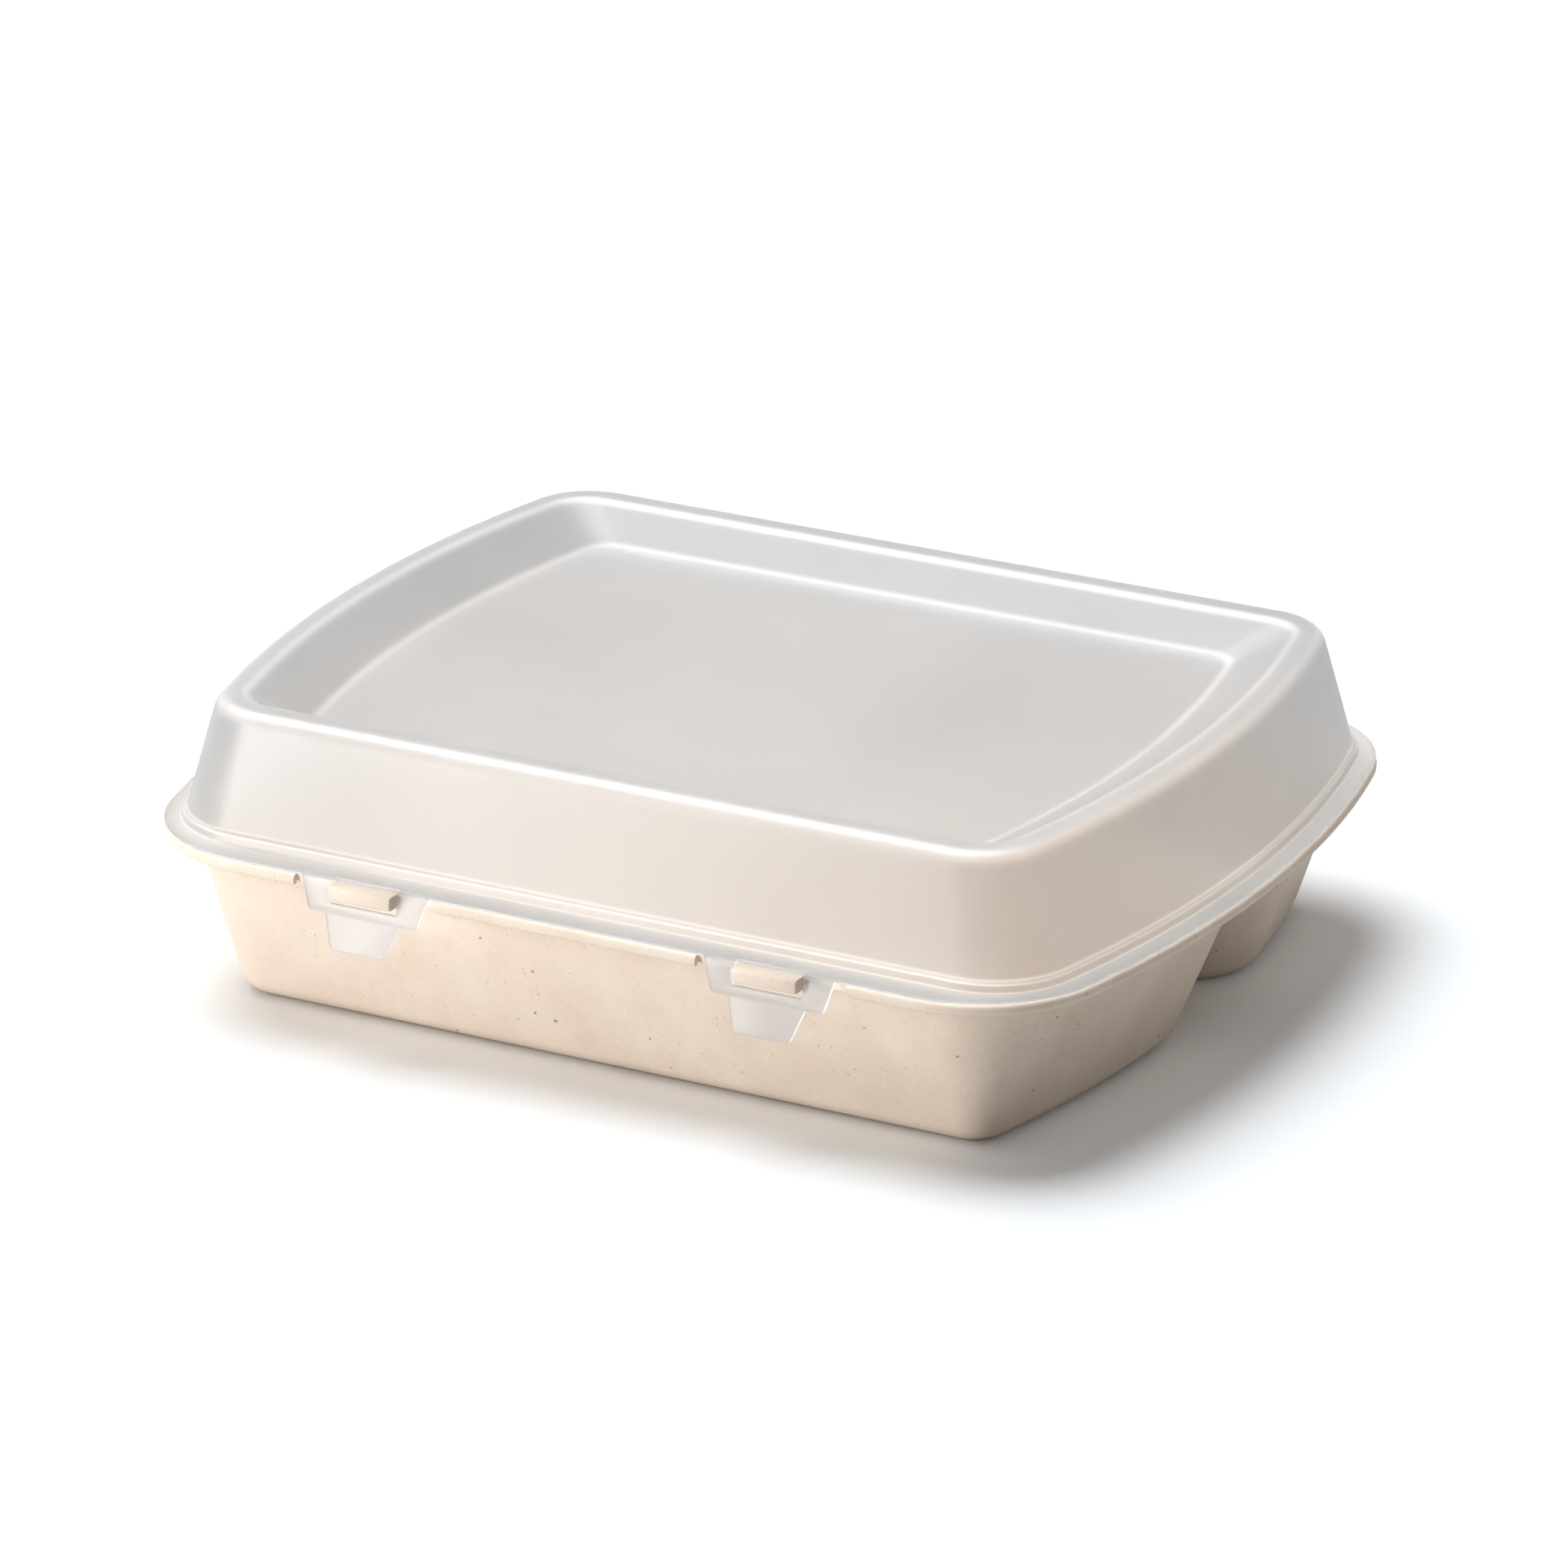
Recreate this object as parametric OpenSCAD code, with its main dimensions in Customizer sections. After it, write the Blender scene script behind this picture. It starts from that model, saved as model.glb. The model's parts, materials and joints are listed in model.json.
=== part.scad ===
// Reusable meal container: a moulded plant-fibre tray with three compartments and a frosted lid.
// The lid hooks over the lugs of the rear rim, on which it swings, and latches over those in front.
// Origin: centre of the footprint on the table. +X runs to the right, +Y to the rear, +Z up.

/* [Rim] */
// Overall width, across the middle of the bowed ends
rim_w = 235.4; // [210:0.2:260]
// Overall depth, from the front lip to the rear lip
rim_d = 186; // [165:0.2:210]
// Height of the rim's top face above the table
rim_z = 37.5; // [32:0.5:45]
// Corner radius of the rim
rim_corner_r = 30; // [26:1:36]
// Radius of the bow of the two ends
end_bow_r = 308; // [260:2:400]
// Distance from the outer face of the lip to the outer face of the wall
rim_flange = 6.2; // [5:0.1:8]
// Thickness of the down-turned lip
lip_t = 1.3; // [1:0.1:1.6]
// Height of the down-turned lip
lip_h = 2.3; // [2:0.1:3.5]

/* [Tray] */
// Wall thickness of the tray
tray_t = 1.4; // [1:0.1:1.8]
// How far the end walls lean in, from the rim down to the table
lean_end = 12.4; // [8:0.2:15]
// How far the front and rear walls lean in, from the rim down to the table
lean_side = 10.2; // [7:0.2:13]
// Corner radius of the walls at the rim
wall_corner_r = 24; // [20:0.5:26]
// Corner radius of the walls at the table
foot_corner_r = 8; // [6:0.5:12]
// Radius between the walls and the floor, outside
foot_r = 4; // [2.5:0.5:5.5]

/* [Dividers] */
// Place of the long divider, from the middle of the container towards the rear
divider_y = 7.9; // [-5:0.1:15]
// Width of the open valley under the long divider, at the table
valley_foot_w = 25; // [18:0.5:30]
// Width of the valleys at their tops
valley_top_w = 6; // [5:0.5:8]
// Width of the valley between the two rear compartments, at the table
mid_foot_w = 14; // [12:0.5:20]
// How far the tops of the dividers lie below the rim
divider_drop = 2.5; // [1.5:0.1:5]
// Radius of the rear compartments' inner corners
inner_corner_r = 10; // [8:0.5:12]
// Radius of the rear compartments' front outer corners
outer_corner_r = 16; // [12:0.5:18]

/* [Lid] */
// Wall thickness of the lid
lid_t = 0.9; // [0.8:0.05:1.1]
// How far the lid's flange stays inside the tray's lip
lid_setback = 0.2; // [0.1:0.1:0.5]
// Height of the crest above the rim's top face
crest_h = 28.7; // [24:0.1:36]
// Width of the flange along the front and rear
lid_flange_side = 6.7; // [6:0.1:9]
// Width of the flange along the two ends
lid_flange_end = 4; // [3.5:0.1:6]
// Height of the small step at the foot of the dome
step_h = 1.8; // [1.2:0.1:2.5]
// Width of the ledge on that step
step_w = 1.2; // [0.8:0.1:1.6]
// How far the dome's end walls lean in
dome_lean_end = 6.4; // [4:0.2:9]
// How far the dome's front and rear walls lean in
dome_lean_side = 3.5; // [2:0.1:6]
// Corner radius at the dome's foot
dome_foot_r = 19; // [17:0.5:24]
// Corner radius at the top of the dome's wall
dome_top_r = 15.5; // [14:0.5:17]
// Radius of the dome's shoulder
shoulder_r = 4; // [3:0.5:5]
// Width of the crest's flat top along the front and rear
crest_side_w = 3; // [1.5:0.1:4]
// Width of the crest's flat top along the two ends
crest_end_w = 1.5; // [1:0.1:2.5]
// Depth of the sunken panel below the crest
panel_drop = 7.2; // [4:0.1:9]
// Run of the slope down to the panel, at the front and rear
slope_side = 10.2; // [9:0.1:13]
// Run of the slope down to the panel, at the two ends
slope_end = 15; // [11:0.1:17]
// Corner radius of the panel
panel_r = 6; // [5:0.5:8]

/* [Tabs and lugs] */
// Distance of each tab from the container's middle
tab_x = 47.8; // [38:0.2:55]
// Width of a tab at its crease
tab_w = 30; // [27:0.5:34]
// How much narrower each side of a tab is at its shoulders
tab_taper = 2; // [1:0.1:3]
// Depth of a tab's shoulders below its crease
shoulder_z = 7.1; // [6.8:0.1:8]
// Width of the finger tongue at the shoulders
tongue_w = 17.8; // [15:0.2:20]
// How much narrower each side of the tongue is at its tip
tongue_taper = 2.4; // [1:0.1:3]
// Length of the finger tongue
tongue_l = 7.4; // [6:0.1:10]
// Tilt of a tab's upper part away from the tray
plate_tilt = 10; // [4:1:14]
// Further tilt of the finger tongue
tongue_tilt = 10; // [5:1:16]
// Width of a lug
lug_w = 15; // [12:0.5:16]
// How far a lug stands out past the lid's flange
lug_out = 3.2; // [2.8:0.1:4]
// Height of a lug
lug_h = 2.9; // [2.6:0.1:3.4]
// How far a lug's top rises above the rim
lug_rise = 0.3; // [0.1:0.1:0.4]
// Radius of the lug's upper front edge
lug_r = 0.8; // [0.5:0.1:1.2]
// How far a tab's slot reaches back into the lid's flange
slot_in = 1.2; // [1.2:0.1:1.6]
// Clearance between a lug and the sides, back and foot of its slot
lug_gap = 0.5; // [0.3:0.05:0.6]
// Width left free in the lip on each side of a tab
notch_gap = 2.4; // [1.5:0.1:3]
// Gap between the flange and a tab's creased edge
crease_gap = 0.15; // [0.1:0.05:0.3]

/* [Hidden] */

corner_steps = 9;
bow_steps = 12;
round_steps = 4;
// Overlap of solids that are fused, and how far cutting solids run past the faces that they cut
lap = 0.05;
cut = 1;

rim_hx = rim_w / 2;
rim_hy = rim_d / 2;
plate_z = rim_z - tray_t;
lip_z = rim_z - lip_h;
lip_round_share = 0.7;
lip_round = lip_t * lip_round_share;
fuse_z = rim_z - tray_t / 2;
divider_z = rim_z - divider_drop;
ceiling_z = divider_z - tray_t;

edge_hx = rim_hx - lid_setback;
edge_hy = rim_hy - lid_setback;
flange_z = rim_z + lid_t;
crest_z = rim_z + crest_h;
wall_top_z = crest_z - shoulder_r;
ledge_z = flange_z + step_h;
ledge_slope = 0.35;
ledge_start = step_w * 0.3;
ledge_rise = step_w * ledge_slope;
panel_z = crest_z - panel_drop;

crease_r = lid_t / 2;
tab_corner_r = 1.6;
crease_y = edge_hy;
crease_z = rim_z + crease_r;
lug_top_z = rim_z + lug_rise;
lug_bottom_z = lug_top_z - lug_h;
lug_face_y = edge_hy + lug_out;
lug_edge_r = 0.5;
lug_reach = norm([lug_out - lug_edge_r, crease_z - lug_bottom_z - lug_edge_r]) + lug_edge_r;
slot_w = lug_w + 2 * lug_gap;
slot_bottom = lug_reach + lug_gap;
notch_over = 0.1;
notch_y = rim_hy - lip_t - notch_over;

// Points along an arc, both ends included
function arc(center, r, from, to, steps) =
    [for (i = [0:steps]) let (a = from + (to - from) * i / steps) center + r * [cos(a), sin(a)]];

// The bow's centre is shared by all outlines, so that every end runs parallel to the rim's end
function bow_of(hx) = end_bow_r - rim_hx + hx;

// Centre of a corner of radius r that touches the bow and the straight edge at y = edge
function corner_center(hx, edge, r, side) =
    let (bow = bow_of(hx), dy = edge - side * r)
    [hx - bow + sqrt(pow(bow - r, 2) - dy * dy), dy];

function corner_angle(hx, center) = atan2(center.y, center.x - hx + bow_of(hx));

// Right-hand half of an outline: front corner, bowed end, rear corner
function bowed_side(hx, y0, y1, r0, r1) =
    let (
        c0 = corner_center(hx, y0, r0, -1),
        c1 = corner_center(hx, y1, r1, 1),
        a0 = corner_angle(hx, c0),
        a1 = corner_angle(hx, c1),
        bow = arc([hx - bow_of(hx), 0], bow_of(hx), a0, a1, bow_steps)
    )
    concat(
        arc(c0, r0, -90, a0, corner_steps),
        [for (i = [1:bow_steps - 1]) bow[i]],
        arc(c1, r1, a1, 90, corner_steps)
    );

function mirrored(points) = [for (i = [len(points) - 1:-1:0]) [-points[i].x, points[i].y]];

// Full outline with two bowed ends
function bowed(hx, y0, y1, r0, r1) =
    let (side = bowed_side(hx, y0, y1, r0, r1))
    concat(side, mirrored(side));

// Outline with one bowed end, and a straight inner edge at x = x_in
function half_bowed(hx, y0, y1, r0, r1, x_in, r_in) =
    concat(
        bowed_side(hx, y0, y1, r0, r1),
        arc([x_in + r_in, y1 - r_in], r_in, 90, 180, corner_steps),
        arc([x_in + r_in, y0 + r_in], r_in, 180, 270, corner_steps)
    );

function at_level(points, z) = [for (p = points) [p.x, p.y, z]];

function mix(a, b, t) = a + (b - a) * t;

// Solid between two convex outlines, each given as [height, points]
module band(low, high) {
    n = len(low[1]);
    m = len(high[1]);
    hull()
        polyhedron(
            points = concat(at_level(low[1], low[0]), at_level(high[1], high[0])),
            faces = [[for (i = [0:n - 1]) i], [for (i = [m - 1:-1:0]) n + i]]
        );
}

module stack(levels)
    for (i = [0:len(levels) - 2])
        band(levels[i], levels[i + 1]);

// Outline of the whole tray wall at height z, moved in by inset
function wall_outline(z, inset) =
    let (
        t = z / rim_z,
        hx = rim_hx - rim_flange - lean_end * (1 - t) - inset,
        hy = rim_hy - rim_flange - lean_side * (1 - t) - inset,
        r = mix(foot_corner_r, wall_corner_r, t) - inset
    )
    bowed(hx, -hy, hy, r, r);

function front_outline(z, inset) =
    let (
        t = z / rim_z,
        hx = rim_hx - rim_flange - lean_end * (1 - t) - inset,
        y0 = -(rim_hy - rim_flange - lean_side * (1 - t)) + inset,
        y1 = divider_y - mix(valley_foot_w, valley_top_w, z / ceiling_z) / 2 - inset,
        r0 = mix(foot_corner_r, wall_corner_r, t) - inset
    )
    bowed(hx, y0, y1, r0, foot_corner_r - inset);

function rear_outline(z, inset) =
    let (
        t = z / rim_z,
        hx = rim_hx - rim_flange - lean_end * (1 - t) - inset,
        y0 = divider_y + mix(valley_foot_w, valley_top_w, z / ceiling_z) / 2 + inset,
        y1 = rim_hy - rim_flange - lean_side * (1 - t) - inset,
        r1 = mix(foot_corner_r, wall_corner_r, t) - inset,
        x_in = mix(mid_foot_w, valley_top_w, z / ceiling_z) / 2 + inset
    )
    half_bowed(hx, y0, y1, outer_corner_r - inset, r1, x_in, inner_corner_r - inset);

// Levels of the rounding at a compartment's floor, as [height, inset]
function foot_levels(floor_z, r) =
    [for (i = [0:round_steps]) let (a = 90 * i / round_steps)
        [floor_z + r * (1 - cos(a)), r * (1 - sin(a))]];

module front_cup(floor_z, inset, r, top_z)
    stack(concat(
        [for (l = foot_levels(floor_z, r)) [l[0], front_outline(l[0], inset + l[1])]],
        [[top_z, front_outline(top_z, inset)]]
    ));

module rear_cup(floor_z, inset, r, top_z)
    stack(concat(
        [for (l = foot_levels(floor_z, r)) [l[0], rear_outline(l[0], inset + l[1])]],
        [[top_z, rear_outline(top_z, inset)]]
    ));

module cups(floor_z, inset, r, top_z) {
    front_cup(floor_z, inset, r, top_z);
    rear_cup(floor_z, inset, r, top_z);
    mirror([1, 0, 0])
        rear_cup(floor_z, inset, r, top_z);
}

function rim_outline(inset) =
    bowed(rim_hx - inset, inset - rim_hy, rim_hy - inset, rim_corner_r - inset, rim_corner_r - inset);

// Flat rim with a rounded outer edge and a lip turned down round it
module rim() {
    difference() {
        stack(concat(
            [[lip_z, rim_outline(0)]],
            [for (i = [0:round_steps]) let (a = 90 * i / round_steps)
                [rim_z - lip_round * (1 - sin(a)), rim_outline(lip_round * (1 - cos(a)))]]
        ));
        band([lip_z - cut, rim_outline(lip_t)], [plate_z, rim_outline(lip_t)]);
    }
}

// Calls its children at each of the four tabs, drawn for a tab in the front right
module at_tabs()
    for (x = [-tab_x, tab_x])
        for (rear = [0, 1])
            mirror([0, rear, 0])
                translate([x, 0, 0])
                    children();

// A lug runs out from the wall under the rim, and rises through the slot of its tab
module lug() {
    root_y = rim_hy - rim_flange - tray_t / 2;
    riser_y = edge_hy - slot_in + lug_gap;
    foot_center = [lug_edge_r - lug_face_y, lug_bottom_z + lug_edge_r];
    translate([-lug_w / 2, 0, 0])
        rotate([90, 0, 90])
            linear_extrude(lug_w)
                polygon(concat(
                    [[-root_y, lug_bottom_z], [-root_y, rim_z]],
                    [[-riser_y, rim_z], [-riser_y, lug_top_z]],
                    arc([lug_r - lug_face_y, lug_top_z - lug_r], lug_r, 90, 180, round_steps),
                    arc(foot_center, lug_edge_r, 180, 270, round_steps)
                ));
}

module notch() {
    w = tab_w + 2 * notch_gap;
    translate([-w / 2, -rim_hy - cut, lip_z - cut])
        cube([w, rim_hy + cut - notch_y, lip_h + 2 * cut]);
}

module tray() {
    color("#e3d0b4") {
        difference() {
            union() {
                difference() {
                    rim();
                    at_tabs()
                        notch();
                }
                cups(0, 0, foot_r, fuse_z);
                band([ceiling_z, wall_outline(ceiling_z, lap)], [fuse_z, wall_outline(fuse_z, lap)]);
                at_tabs()
                    lug();
            }
            cups(tray_t, tray_t, foot_r - tray_t, rim_z + cut);
            band(
                [divider_z, wall_outline(divider_z, tray_t + lap)],
                [rim_z + cut, wall_outline(rim_z + cut, tray_t + lap)]
            );
        }
    }
}

// Outline of the dome, moved in from the flange's edge by [end, side], with corner radius r
function dome_outline(in_end, in_side, r) =
    bowed(edge_hx - in_end, in_side - edge_hy, edge_hy - in_side, r, r);

wall_foot_end = lid_flange_end + step_w;
wall_foot_side = lid_flange_side + step_w;
wall_top_end = wall_foot_end + dome_lean_end;
wall_top_side = wall_foot_side + dome_lean_side;
crest_in_end = wall_top_end + shoulder_r + crest_end_w;
crest_in_side = wall_top_side + shoulder_r + crest_side_w;
crest_corner_r = dome_top_r - shoulder_r - crest_end_w;

// Dome surface: thick is 0 for the outside and the wall thickness for the inside
module dome(thick) {
    r = shoulder_r - thick;
    stack(concat(
        [
            [rim_z - thick, dome_outline(lid_flange_end + thick, lid_flange_side + thick, dome_foot_r - thick)],
            [
                ledge_z - thick,
                dome_outline(
                    lid_flange_end + ledge_start + thick,
                    lid_flange_side + ledge_start + thick,
                    dome_foot_r - thick
                )
            ],
            [
                ledge_z + ledge_rise - thick,
                dome_outline(wall_foot_end + thick, wall_foot_side + thick, dome_foot_r - thick)
            ]
        ],
        [for (i = [0:round_steps]) let (a = 90 * i / round_steps, s = thick + r * (1 - cos(a)))
            [wall_top_z + r * sin(a), dome_outline(wall_top_end + s, wall_top_side + s, dome_top_r - s)]]
    ));
}

// Sunken panel: wide is 0 for the outside and the wall thickness for the underside
module panel_recess(wide) {
    // The slope from the crest down to the panel, as shares of its run and of its drop
    profile = [[0, 1], [0.05, 0.96], [0.14, 0.88], [0.82, 0.14], [0.94, 0.03], [1, 0]];
    stack([
        for (i = [len(profile) - 1:-1:-1])
            let (p = i < 0 ? [0, 1 + cut / panel_drop] : profile[i])
            [
                panel_z - wide + panel_drop * p[1],
                dome_outline(
                    crest_in_end + slope_end * p[0] - wide,
                    crest_in_side + slope_side * p[0] - wide,
                    mix(crest_corner_r, panel_r, p[0]) + wide
                )
            ]
    ]);
}

// Cut in the flange for a tab's crease, and behind it for the slot that goes over the crease
module tab_cutout() {
    w = tab_w + 2 * crease_gap;
    y = crease_y - crease_r - crease_gap;
    translate([-w / 2, -edge_hy - cut, rim_z - cut])
        cube([w, edge_hy + cut - y, lid_t + 2 * cut]);
    translate([-slot_w / 2, -edge_hy - cut, rim_z - cut])
        cube([slot_w, slot_in + cut, lid_t + 2 * cut]);
}

module lid() {
    color("#e9eaea", 0.55) {
        difference() {
            union() {
                band([rim_z, dome_outline(0, 0, rim_corner_r)], [flange_z, dome_outline(0, 0, rim_corner_r)]);
                dome(0);
            }
            difference() {
                dome(lid_t);
                panel_recess(lid_t);
            }
            panel_recess(0);
            at_tabs()
                tab_cutout();
        }
    }
}

// Side profile of a tab, in [y, z] from its crease: straight plate and tilted tongue
function tab_profile() =
    let (
        r = crease_r,
        out = [-cos(tongue_tilt), -sin(tongue_tilt)],
        down = [-sin(tongue_tilt), -cos(tongue_tilt)],
        tip = [0, -shoulder_z] + tongue_l * down,
        turn = r * tan(tongue_tilt / 2)
    )
    [[r, 0], [-r, 0], [-r, turn - shoulder_z], tip + r * out, tip - r * out, [r, -shoulder_z - turn]];

// Front view of a tab, in [x, z] from its crease: tapered plate, rounded shoulders, tapered tongue
function tab_half() =
    let (
        tip = shoulder_z + tongue_l,
        hw = tab_w / 2,
        tw = tongue_w / 2
    )
    concat(
        [[hw, cut], [hw, 0]],
        arc([hw - tab_taper - tab_corner_r, tab_corner_r - shoulder_z], tab_corner_r, 0, -90, round_steps),
        [[tw, -shoulder_z]],
        arc([tw - tongue_taper - tab_corner_r, tab_corner_r - tip], tab_corner_r, 0, -90, round_steps)
    );

// A tab, hanging from its creased edge, with the slot that its lug stands through
module tab() {
    half = tab_half();
    blank_t = lid_t + tongue_l * sin(tongue_tilt) + 2 * cut;
    translate([0, -crease_y, crease_z])
        rotate([-plate_tilt, 0, 0])
            difference() {
                union() {
                    rotate([0, 90, 0])
                        cylinder(h = tab_w, r = crease_r, center = true, $fn = 48);
                    intersection() {
                        translate([-tab_w / 2, 0, 0])
                            rotate([90, 0, 90])
                                linear_extrude(tab_w)
                                    polygon(tab_profile());
                        translate([0, crease_r + cut, 0])
                            rotate([90, 0, 0])
                                linear_extrude(blank_t)
                                    polygon(concat(half, mirrored(half)));
                    }
                }
                translate([-slot_w / 2, -crease_r - cut, -slot_bottom])
                    cube([slot_w, lid_t + 2 * cut, slot_bottom + crease_r + cut]);
            }
}

module latch_tab_left() {
    color("#f1efec", 0.7)
        translate([-tab_x, 0, 0])
            tab();
}

module latch_tab_right() {
    color("#f1efec", 0.7)
        translate([tab_x, 0, 0])
            tab();
}

module hinge_tab_left() {
    color("#f1efec", 0.7)
        mirror([0, 1, 0])
            translate([-tab_x, 0, 0])
                tab();
}

module hinge_tab_right() {
    color("#f1efec", 0.7)
        mirror([0, 1, 0])
            translate([tab_x, 0, 0])
                tab();
}

tray();
lid();
latch_tab_left();
latch_tab_right();
hinge_tab_left();
hinge_tab_right();
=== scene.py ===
# Reusable meal container: a moulded fibre tray under a frosted lid with four tabs.
import json
import math
import bmesh
import bpy
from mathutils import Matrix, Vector

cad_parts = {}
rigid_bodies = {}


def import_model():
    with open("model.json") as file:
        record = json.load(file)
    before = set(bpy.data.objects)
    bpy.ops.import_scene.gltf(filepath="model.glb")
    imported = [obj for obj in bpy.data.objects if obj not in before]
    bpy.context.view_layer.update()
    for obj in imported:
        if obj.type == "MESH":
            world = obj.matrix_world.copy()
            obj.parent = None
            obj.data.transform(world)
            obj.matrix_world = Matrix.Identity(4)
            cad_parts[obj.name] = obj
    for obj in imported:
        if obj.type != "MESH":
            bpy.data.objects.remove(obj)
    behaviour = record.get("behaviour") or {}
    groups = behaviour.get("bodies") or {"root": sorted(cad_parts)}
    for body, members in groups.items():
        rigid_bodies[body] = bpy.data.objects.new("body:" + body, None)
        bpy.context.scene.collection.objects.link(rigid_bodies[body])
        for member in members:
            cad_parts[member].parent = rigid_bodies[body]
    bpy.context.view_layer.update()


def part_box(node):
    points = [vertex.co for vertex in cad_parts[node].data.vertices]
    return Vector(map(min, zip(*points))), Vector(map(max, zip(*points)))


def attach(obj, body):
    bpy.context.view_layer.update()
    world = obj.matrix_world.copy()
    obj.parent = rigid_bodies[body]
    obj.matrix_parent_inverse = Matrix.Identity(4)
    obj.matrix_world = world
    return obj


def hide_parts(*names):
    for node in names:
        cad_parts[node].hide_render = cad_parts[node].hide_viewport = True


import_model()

# Tray
# One shell of plant-fibre plastic, pressed in a heated mould. It has three compartments with open
# valleys between them, a flat rim and a lip turned down round it, cut away where the tabs hang.
MM = 0.001
RIM_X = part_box("tray")[1].x
RIM_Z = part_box("lid")[0].z
RIM_DEPTH = 186 * MM
RIM_LENGTH = 235.4 * MM
RIM_Y = RIM_X * RIM_DEPTH / RIM_LENGTH
BOW_R = 308 * MM
BOW_CENTRE = BOW_R - RIM_X
FLANGE = 6.2 * MM
LEAN_END = 12.4 * MM
LEAN_SIDE = 10.2 * MM
TRAY_WALL = 1.4 * MM
RIM_ROUND = 1.1 * MM
LIP_ROUND = 1.15 * MM
LIP_HEIGHT = 2.3 * MM
LIP_WALL = 1.3 * MM
LIP_BEAD_R = 0.7 * MM
LIP_EDGE_R = 0.3 * MM
WALL_CORNER_R = 24 * MM
FOOT_CORNER_R = 8 * MM
FOOT_R = 4 * MM
DIVIDER_Y = 7.9 * MM
DIVIDER_Z = RIM_Z - 2.5 * MM
CEILING_Z = DIVIDER_Z - TRAY_WALL
VALLEY_FOOT = 25 * MM
VALLEY_TOP = 6 * MM
MID_FOOT = 14 * MM
INNER_CORNER_R = 10 * MM
OUTER_CORNER_R = 16 * MM
DIVIDER_EDGE_R = 1.5 * MM
VALLEY_EDGE_R = 0.5 * MM
CORNER_STEPS = 12
BOW_STEPS = 10
GAP_STEPS = 4
SIDE_STEPS = 6
EDGE_STEPS = 4
LIP_STEPS = 5
FOOT_STEPS = 6
LOOP_GAP = 1 * MM
SMOOTH_ANGLE = 32
# How close points lie that are welded, that are level or that are the same
WELD = 0.004 * MM
LEVEL_GAP = 0.02 * MM
HAIR = 0.001 * MM


def arc(centre, radius, start, end, steps):
    angles = [start + (end - start) * i / steps for i in range(steps + 1)]
    return [Vector((centre[0] + radius * math.cos(a), centre[1] + radius * math.sin(a))) for a in angles]


def quarter_round(steps):
    """Points of a quarter circle: the share of its radius left to go one way, and gone the other."""
    angles = [math.pi / 2 * i / steps for i in range(steps + 1)]
    return [(1 - math.sin(a), 1 - math.cos(a)) for a in angles]


def mix(a, b, t):
    return a + (b - a) * t


def corner_centre(x_mid, edge, radius, side):
    """Centre of a corner that touches the bowed end and the straight edge at y = edge."""
    reach = BOW_CENTRE + x_mid - radius
    y = edge - side * radius
    return Vector((math.sqrt(reach * reach - y * y) - BOW_CENTRE, y))


def corner_angle(centre):
    return math.atan2(centre.y, centre.x + BOW_CENTRE)


def end_outline(x_mid, y_front, y_rear, r_front, r_rear):
    """Right-hand end of an outline: front corner, bow and rear corner, from front to rear."""
    front = corner_centre(x_mid, y_front, r_front, -1)
    rear = corner_centre(x_mid, y_rear, r_rear, 1)
    bow = arc((-BOW_CENTRE, 0), BOW_CENTRE + x_mid, corner_angle(front), corner_angle(rear), BOW_STEPS)
    return (
        arc(front, r_front, -math.pi / 2, corner_angle(front), CORNER_STEPS)
        + bow[1:-1]
        + arc(rear, r_rear, corner_angle(rear), math.pi / 2, CORNER_STEPS)
    )


def mirrored(points):
    return [Vector((-p.x, p.y)) for p in reversed(points)]


def straight(start, end, steps):
    """The points between two corners, without the corners themselves."""
    return [start.lerp(end, i / steps) for i in range(1, steps)]


def wall_sizes(z, inset):
    """Half length, half depth and corner radius of the tray's wall at a height."""
    t = z / RIM_Z
    return (
        RIM_X - FLANGE - LEAN_END * (1 - t) - inset,
        RIM_Y - FLANGE - LEAN_SIDE * (1 - t) - inset,
        mix(FOOT_CORNER_R, WALL_CORNER_R, t) - inset,
    )


def front_cup(z, inset):
    x, y, r = wall_sizes(z, inset)
    edge = DIVIDER_Y - mix(VALLEY_FOOT, VALLEY_TOP, z / CEILING_Z) / 2 - inset
    side = end_outline(x, -y, edge, r, FOOT_CORNER_R - inset)
    half = side + straight(side[-1], mirrored(side)[0], 2 * SIDE_STEPS) + mirrored(side)
    return half + straight(half[-1], half[0], 2 * SIDE_STEPS)


def rear_cup(z, inset):
    x, y, r = wall_sizes(z, inset)
    edge = DIVIDER_Y + mix(VALLEY_FOOT, VALLEY_TOP, z / CEILING_Z) / 2 + inset
    inner = mix(MID_FOOT, VALLEY_TOP, z / CEILING_Z) / 2 + inset
    turn = INNER_CORNER_R - inset
    side = end_outline(x, edge, y, OUTER_CORNER_R - inset, r)
    rear = arc((inner + turn, y - turn), turn, math.pi / 2, math.pi, CORNER_STEPS)
    front = arc((inner + turn, edge + turn), turn, math.pi, math.pi * 1.5, CORNER_STEPS)
    loop = side + straight(side[-1], rear[0], SIDE_STEPS) + rear
    loop += straight(rear[-1], front[0], SIDE_STEPS) + front
    return loop + straight(front[-1], side[0], SIDE_STEPS)


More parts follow.
